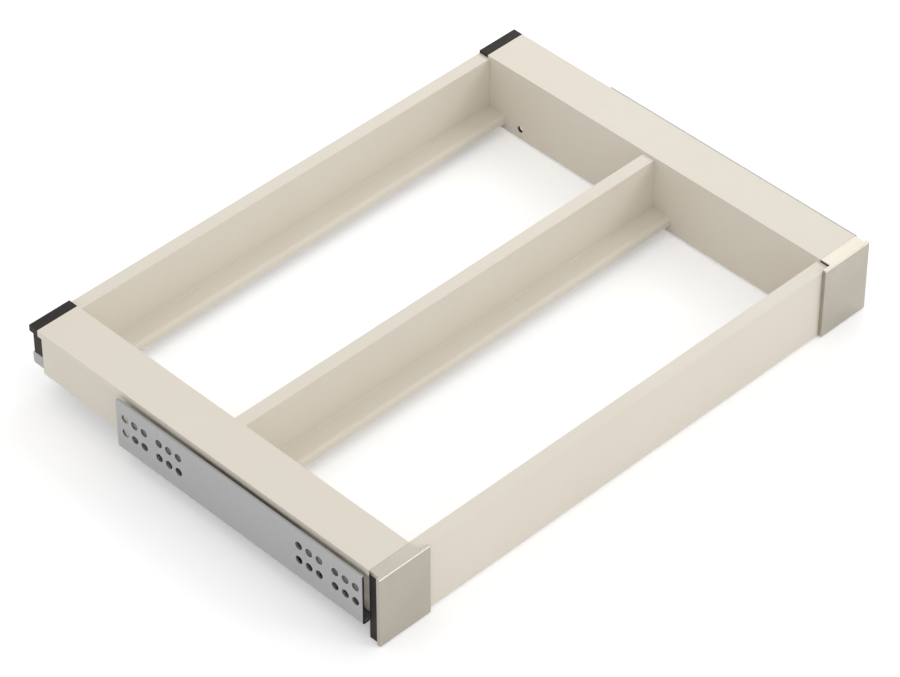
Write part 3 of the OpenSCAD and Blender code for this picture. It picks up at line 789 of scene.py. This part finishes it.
def ballTree(sizes):
    tree, given = startTree("cageBalls", sizes)
    radius = over(tree, given.outputs["Ball Diameter"], 2)
    ball = addNode(tree, "GeometryNodeMeshIcoSphere", {
        "Radius": radius, "Subdivisions": ballForm["subdivisions"]}).outputs["Mesh"]
    return finishTree(tree, given, ball)


def runTree(name, tree, given, sizes, finish):
    grower = bpy.data.objects.new(name + "Given", given)
    bpy.context.scene.collection.objects.link(grower)
    modifier = grower.modifiers.new("grow", "NODES")
    modifier.node_group = tree
    identifiers = {item.name: item.identifier for item in tree.interface.items_tree
                   if item.item_type == "SOCKET" and item.in_out == "INPUT"}
    for label, value in sizes.items():
        modifier[identifiers[label]] = value
    modifier[identifiers["Finish"]] = finish
    evaluated = grower.evaluated_get(bpy.context.evaluated_depsgraph_get())
    mesh = bpy.data.meshes.new_from_object(evaluated)
    grower.modifiers.remove(modifier)
    bpy.data.objects.remove(grower)
    mesh.name = name
    return mesh


def growPiece(name, tree, points, nodes, finish, sizes=None):
    cloud = bpy.data.meshes.new(name + "Points")
    cloud.from_pydata([tuple(point) for point in points], [], [])
    mesh = runTree(name, tree, cloud, sizes or {}, finish)
    mesh.set_sharp_from_angle(angle=math.radians(meshCare["sharpAngle"]))
    piece = bpy.data.objects.new(name, mesh)
    bpy.context.scene.collection.objects.link(piece)
    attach(piece, bodyOfNode[nodes[0]])
    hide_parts(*nodes)


def outerEnds(node, inset=0.0):
    # Each fastener's end towards the cabinet side, moved inward by an inset
    ends = []
    for low, high in islandBoxes(node):
        middle = (low + high) / 2
        side = 1 if middle.x > 0 else -1
        outerX = high.x if side > 0 else low.x
        ends.append(Vector((outerX - side * inset, middle.y, middle.z)))
    return ends


def middles(node):
    return [(low + high) / 2 for low, high in islandBoxes(node)]


screws = screwTree(screwSizes)
for node in ("crossbar_screws", "drawer_rail_screws"):
    low, high = islandBoxes(node)[0]
    shankLength = high.x - low.x - screwSizes["Head Height"]
    growPiece(camel(node), screws, outerEnds(node, screwSizes["Head Height"]), [node], platedFastener,
              {"Shank Length": shankLength})
growPiece("trackRivets", flushRivetTree(flushRivetSizes), outerEnds("track_rivets"), ["track_rivets"],
          platedFastener)
domedRivets = domedRivetTree(domedRivetSizes)
balls = ballTree(ballSizes)
for side in ("left", "right"):
    rivetNode = "middle_rail_rivets_" + side
    growPiece(camel(rivetNode), domedRivets, middles(rivetNode), [rivetNode], platedFastener)
    for row in ("outer", "inner"):
        ballNode = f"{row}_balls_{side}"
        growPiece(camel(ballNode), balls, middles(ballNode), [ballNode], finishes["ball_steel"])
print("fasteners and balls grown")


# Bracket: a J-shaped sheet along Y, its holes in clusters one step of the 32 mm grid apart
bracketSizes = {
    "Front": -0.1515,
    "Length": 0.224,
    "Top": 0.0535,
    "Corner Radius": 0.0018,
    "Hole Diameter": 0.006,
    "First Hole": 0.006,
    "Hole Pitch": 0.009,
    "Columns": 3,
    "Upper Row": 0.0407,
    "Row Pitch": 0.012,
    "Rows": 2,
    "Cluster Pitch": 0.032,
    "Clusters": 2,
    "Group Pitch": 0.160,
    "Groups": 2,
    "Rivet Diameter": 0.00405,
    "Rivet Head": 0.00605,
    "Head Depth": 0.001,
}

# Its section, in millimetres inward from the cabinet side and up from the lowest face
bracketSection = {
    "sheet": 1.5,
    "foot": 12.3,
    "top": 53.5,
    "bend": 0.3,
    "bendSteps": 5,
    "stepStart": 5.0,
    "step": 2.0,
    "back": 11.1,
    "uprightTop": 40.5,
}
millimetresInMetre = 1000

# Cutters for its corners and holes, in metres
bracketCutters = {
    "mergeReach": 0.000001,
    "cornerOutside": 0.001,
    "cornerShort": 0.00005,
    "cornerWidth": 0.006,
    "discDepth": 0.010,
    "discSides": 48,
    "punchDepth": 0.005,
    "punchSides": 40,
    "boreStart": -0.00001,
    "boreDepth": 0.004,
    "boreSides": 28,
    "boreRings": 20,
}

# Whole-number sockets of a Compare node
wholeSockets = {"first": 2, "second": 3}


def quarterBend(centre, radius, start, turn):
    steps = bracketSection["bendSteps"]
    angles = [math.radians(start + turn * i / steps) for i in range(steps + 1)]
    return [(centre[0] + radius * math.cos(angle), centre[1] + radius * math.sin(angle)) for angle in angles]


def bracketOutline(section):
    sheet, foot, bend = section["sheet"], section["foot"], section["bend"]
    start, step, back = section["stepStart"], section["step"], section["back"]
    outer = bend + sheet
    return [
        (0, section["top"]),
        *quarterBend((outer, foot + outer), outer, 180, 90),
        (start, foot),
        (start + step, foot + step),
        *quarterBend((back - outer, foot + step + outer), outer, 270, 90),
        (back, section["uprightTop"]),
        (back - sheet, section["uprightTop"]),
        *quarterBend((back - outer, foot + step + outer), bend, 0, -90),
        (start + step, foot + step + sheet),
        (start, foot + sheet),
        *quarterBend((outer, foot + outer), bend, 270, -90),
        (sheet, section["top"]),
    ]


def instanceOn(tree, points, shape, **turn):
    return addNode(tree, "GeometryNodeInstanceOnPoints", {
        "Points": points, "Instance": shape, **turn}).outputs["Instances"]


def rowOfPoints(tree, count, step, axis, start=None):
    inputs = {"Count": count, "Offset": vector(tree, **{axis: step})}
    if start is not None:
        inputs["Start Location"] = start
    return addNode(tree, "GeometryNodeMeshLine", inputs, mode="OFFSET").outputs["Mesh"]


def moveInAndDown(tree, shape, shift):
    return transform(tree, shape, Translation=vector(tree, Y=shift, Z=times(tree, shift, -1)))


def alongX(tree, radius, length, sides):
    return transform(tree, cylinder(tree, radius, length, sides), Rotation=(0, math.pi / 2, 0))


def perforate(tree, sheet, cutter):
    real = addNode(tree, "GeometryNodeRealizeInstances", {"Geometry": cutter}).outputs["Geometry"]
    return cutAway(tree, sheet, real)


def pullSheet(tree, section, length):
    # The section pulled out along Y, and turned about to close the near end
    pulled = addNode(tree, "GeometryNodeExtrudeMesh", {
        "Mesh": section, "Offset": vector(tree, Y=1.0), "Offset Scale": length, "Individual": False},
        mode="FACES").outputs["Mesh"]
    nearEnd = addNode(tree, "GeometryNodeFlipFaces", {"Mesh": section}).outputs["Mesh"]
    return addNode(tree, "GeometryNodeMergeByDistance", {
        "Geometry": joined(tree, pulled, nearEnd),
        "Distance": bracketCutters["mergeReach"]}).outputs["Geometry"]


def roundCorners(tree, sheet, size):
    # The cutter is a square with a round hollow, turned half a turn about Z for the rear end
    radius = size["Corner Radius"]
    outside, short = bracketCutters["cornerOutside"], bracketCutters["cornerShort"]
    span = plus(tree, radius, outside - short)
    square = addNode(tree, "GeometryNodeMeshCube", {
        "Size": vector(tree, X=bracketCutters["cornerWidth"], Y=span, Z=span)}).outputs["Mesh"]
    square = moveInAndDown(tree, square, over(tree, minus(tree, radius, outside + short), 2))
    disc = alongX(tree, radius, bracketCutters["discDepth"], bracketCutters["discSides"])
    hollow = cutAway(tree, square, moveInAndDown(tree, disc, radius))
    corner = vector(tree, X=size["Outer Face"], Y=size["Front"], Z=size["Top"])
    ends = rowOfPoints(tree, 2, size["Length"], "Y", corner)
    index = addNode(tree, "GeometryNodeInputIndex").outputs["Index"]
    halfTurns = vector(tree, Z=times(tree, index, math.pi))
    return perforate(tree, sheet, instanceOn(tree, ends, hollow, Rotation=halfTurns))


def punchHoles(tree, sheet, size):
    # Columns, rows, clusters and groups, each a row of points that carries the one before
    punch = alongX(tree, over(tree, size["Hole Diameter"], 2),
                   bracketCutters["punchDepth"], bracketCutters["punchSides"])
    holes = instanceOn(tree, rowOfPoints(tree, size["Columns"], size["Hole Pitch"], "Y"), punch)
    holes = instanceOn(tree, rowOfPoints(tree, size["Rows"], size["Row Pitch"], "Z"), holes)
    holes = instanceOn(tree, rowOfPoints(tree, size["Clusters"], size["Cluster Pitch"], "Y"), holes)
    start = vector(tree, X=size["Outer Face"], Y=plus(tree, size["Front"], size["First Hole"]),
                   Z=minus(tree, size["Upper Row"], size["Row Pitch"]))
    holes = instanceOn(tree, rowOfPoints(tree, size["Groups"], size["Group Pitch"], "Y", start), holes)
    return perforate(tree, sheet, holes)


def boreRivetHoles(tree, sheet, size, places):
    # Countersunk towards the cabinet side, in the inner upright
    bore = turnedBody(tree, over(tree, size["Rivet Diameter"], 2), bracketCutters["boreDepth"],
                      bracketCutters["boreSides"], bracketCutters["boreRings"])
    place, level = placeAndLevel(tree)
    bore = flareEnd(tree, bore, place, level, size["Rivet Head"], size["Rivet Diameter"], size["Head Depth"])
    return perforate(tree, sheet, instanceOn(tree, places, bore, Rotation=inwardAxis(tree)))


def bracketTree(sizes):
    # The tree is given the section as a face, the rivets' places as loose points and the outer face's X
    tree, given = startTree("perforatedBracket", {**sizes, "Outer Face": 0.0})
    size = given.outputs
    faces = addNode(tree, "GeometryNodeInputMeshVertexNeighbors").outputs["Face Count"]
    loose = addNode(tree, "FunctionNodeCompare", {
        wholeSockets["first"]: faces, wholeSockets["second"]: 0},
        data_type="INT", operation="EQUAL").outputs["Result"]
    parts = addNode(tree, "GeometryNodeSeparateGeometry", {
        "Geometry": size["Geometry"], "Selection": loose}, domain="POINT").outputs
    sheet = pullSheet(tree, parts["Inverted"], size["Length"])
    sheet = roundCorners(tree, sheet, size)
    sheet = punchHoles(tree, sheet, size)
    sheet = boreRivetHoles(tree, sheet, size, parts["Selection"])
    real = addNode(tree, "GeometryNodeRealizeInstances", {"Geometry": sheet}).outputs["Geometry"]
    finished = addNode(tree, "GeometryNodeSetMaterial", {"Geometry": real, "Material": size["Finish"]})
    addNode(tree, "NodeGroupOutput", {"Geometry": finished.outputs["Geometry"]})
    return tree


def bracketInput(side, rivets):
    outer = side * cadHigh[0]
    corners = [(outer - side * across / millimetresInMetre, bracketSizes["Front"],
                level / millimetresInMetre) for across, level in bracketOutline(bracketSection)]
    if side < 0:
        corners.reverse()
    mesh = bpy.data.meshes.new("bracketSection")
    mesh.from_pydata([*corners, *(tuple(place) for place in rivets)], [], [tuple(range(len(corners)))])
    return mesh, outer


bracket = bracketTree(bracketSizes)
rivetPlaces = outerEnds("track_rivets", bracketCutters["boreStart"])
for side, word in ((-1, "left"), (1, "right")):
    node = "cabinet_bracket_" + word
    section, outer = bracketInput(side, [place for place in rivetPlaces if place.x * side > 0])
    sizes = {**bracketSizes, "Outer Face": outer}
    grown = runTree(camel(node), bracket, section, sizes, finishes["galvanised_steel"])
    perforated = dressPiece(node, camel(node), grown, edgeRounding["galvanised_steel"])
    showShearedEnds(perforated)
    shadeTopEdge(perforated)
print("brackets perforated")


# Floor, world and lamps
stageLook = {
    "floorColour": (0.94, 0.94, 0.94),
    "floorRoughness": 0.9,
    "floorReach": 8,
    "floorLevel": -0.0003,
    "floorGlow": 0.26,
    "ambient": 0.825,
    "panelPlace": (0.89, 0.44, 0.82),
    "panelAim": (0.15, -0.10, 0.05),
    "panelSize": (0.74, 0.70),
    "panelPower": 2.30,
    "fillFrom": (0.50, -0.78, 0.50),
    "fillPower": 0.42,
    "fillSpread": 22,
}


def seenRays(tree):
    # One for what the camera sees, also by mirroring or through glass, and else nought
    rays = addNode(tree, "ShaderNodeLightPath").outputs
    bent = calculate(tree, "MAXIMUM", rays["Is Glossy Ray"], rays["Is Transmission Ray"])
    return calculate(tree, "MAXIMUM", rays["Is Camera Ray"], bent)


def addFloor(look):
    mesh = bpy.data.meshes.new("floor")
    reach, level = look["floorReach"], look["floorLevel"]
    corners = [(-reach, -reach, level), (reach, -reach, level),
               (reach, reach, level), (-reach, reach, level)]
    mesh.from_pydata(corners, [], [(0, 1, 2, 3)])
    floor = bpy.data.objects.new("floor", mesh)
    bpy.context.scene.collection.objects.link(floor)
    material, tree, shader, place = startMaterial("paleFloor")
    shader.inputs["Base Color"].default_value = (*look["floorColour"], 1)
    shader.inputs["Roughness"].default_value = look["floorRoughness"]
    shader.inputs["Specular IOR Level"].default_value = 0.0
    glow = addNode(tree, "ShaderNodeEmission", {
        "Color": (1, 1, 1, 1), "Strength": times(tree, seenRays(tree), look["floorGlow"])})
    both = addNode(tree, "ShaderNodeAddShader", {0: shader.outputs["BSDF"], 1: glow.outputs["Emission"]})
    output = next(node for node in tree.nodes if node.type == "OUTPUT_MATERIAL")
    tree.links.new(both.outputs["Shader"], output.inputs["Surface"])
    mesh.materials.append(material)
    floor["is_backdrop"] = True


def setWorld(look):
    world = bpy.data.worlds.new("softStudio")
    bpy.context.scene.world = world
    world.use_nodes = True
    tree = world.node_tree
    tree.nodes.clear()
    white = (1, 1, 1, 1)
    soft = addNode(tree, "ShaderNodeBackground", {"Color": white, "Strength": look["ambient"]})
    bright = addNode(tree, "ShaderNodeBackground", {"Color": white, "Strength": 1.0})
    mix = addNode(tree, "ShaderNodeMixShader", {
        0: seenRays(tree), 1: soft.outputs["Background"], 2: bright.outputs["Background"]})
    addNode(tree, "ShaderNodeOutputWorld", {"Surface": mix.outputs["Shader"]})


def addPanel(look):
    lamp = bpy.data.lights.new("softPanel", "AREA")
    lamp.shape = "RECTANGLE"
    lamp.size, lamp.size_y = look["panelSize"]
    lamp.energy = look["panelPower"]
    panel = bpy.data.objects.new("softPanel", lamp)
    bpy.context.scene.collection.objects.link(panel)
    panel.location = look["panelPlace"]
    away = Vector(look["panelPlace"]) - Vector(look["panelAim"])
    panel.rotation_euler = away.to_track_quat("Z", "Y").to_euler()
    panel.visible_camera = False


def addFill(look):
    lamp = bpy.data.lights.new("frontFill", "SUN")
    lamp.energy = look["fillPower"]
    lamp.angle = math.radians(look["fillSpread"])
    fill = bpy.data.objects.new("frontFill", lamp)
    bpy.context.scene.collection.objects.link(fill)
    fill.rotation_euler = Vector(look["fillFrom"]).to_track_quat("Z", "Y").to_euler()


addFloor(stageLook)
setWorld(stageLook)
addPanel(stageLook)
addFill(stageLook)
bpy.context.scene.view_settings.view_transform = "Standard"
print("stage lit")

low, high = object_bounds()
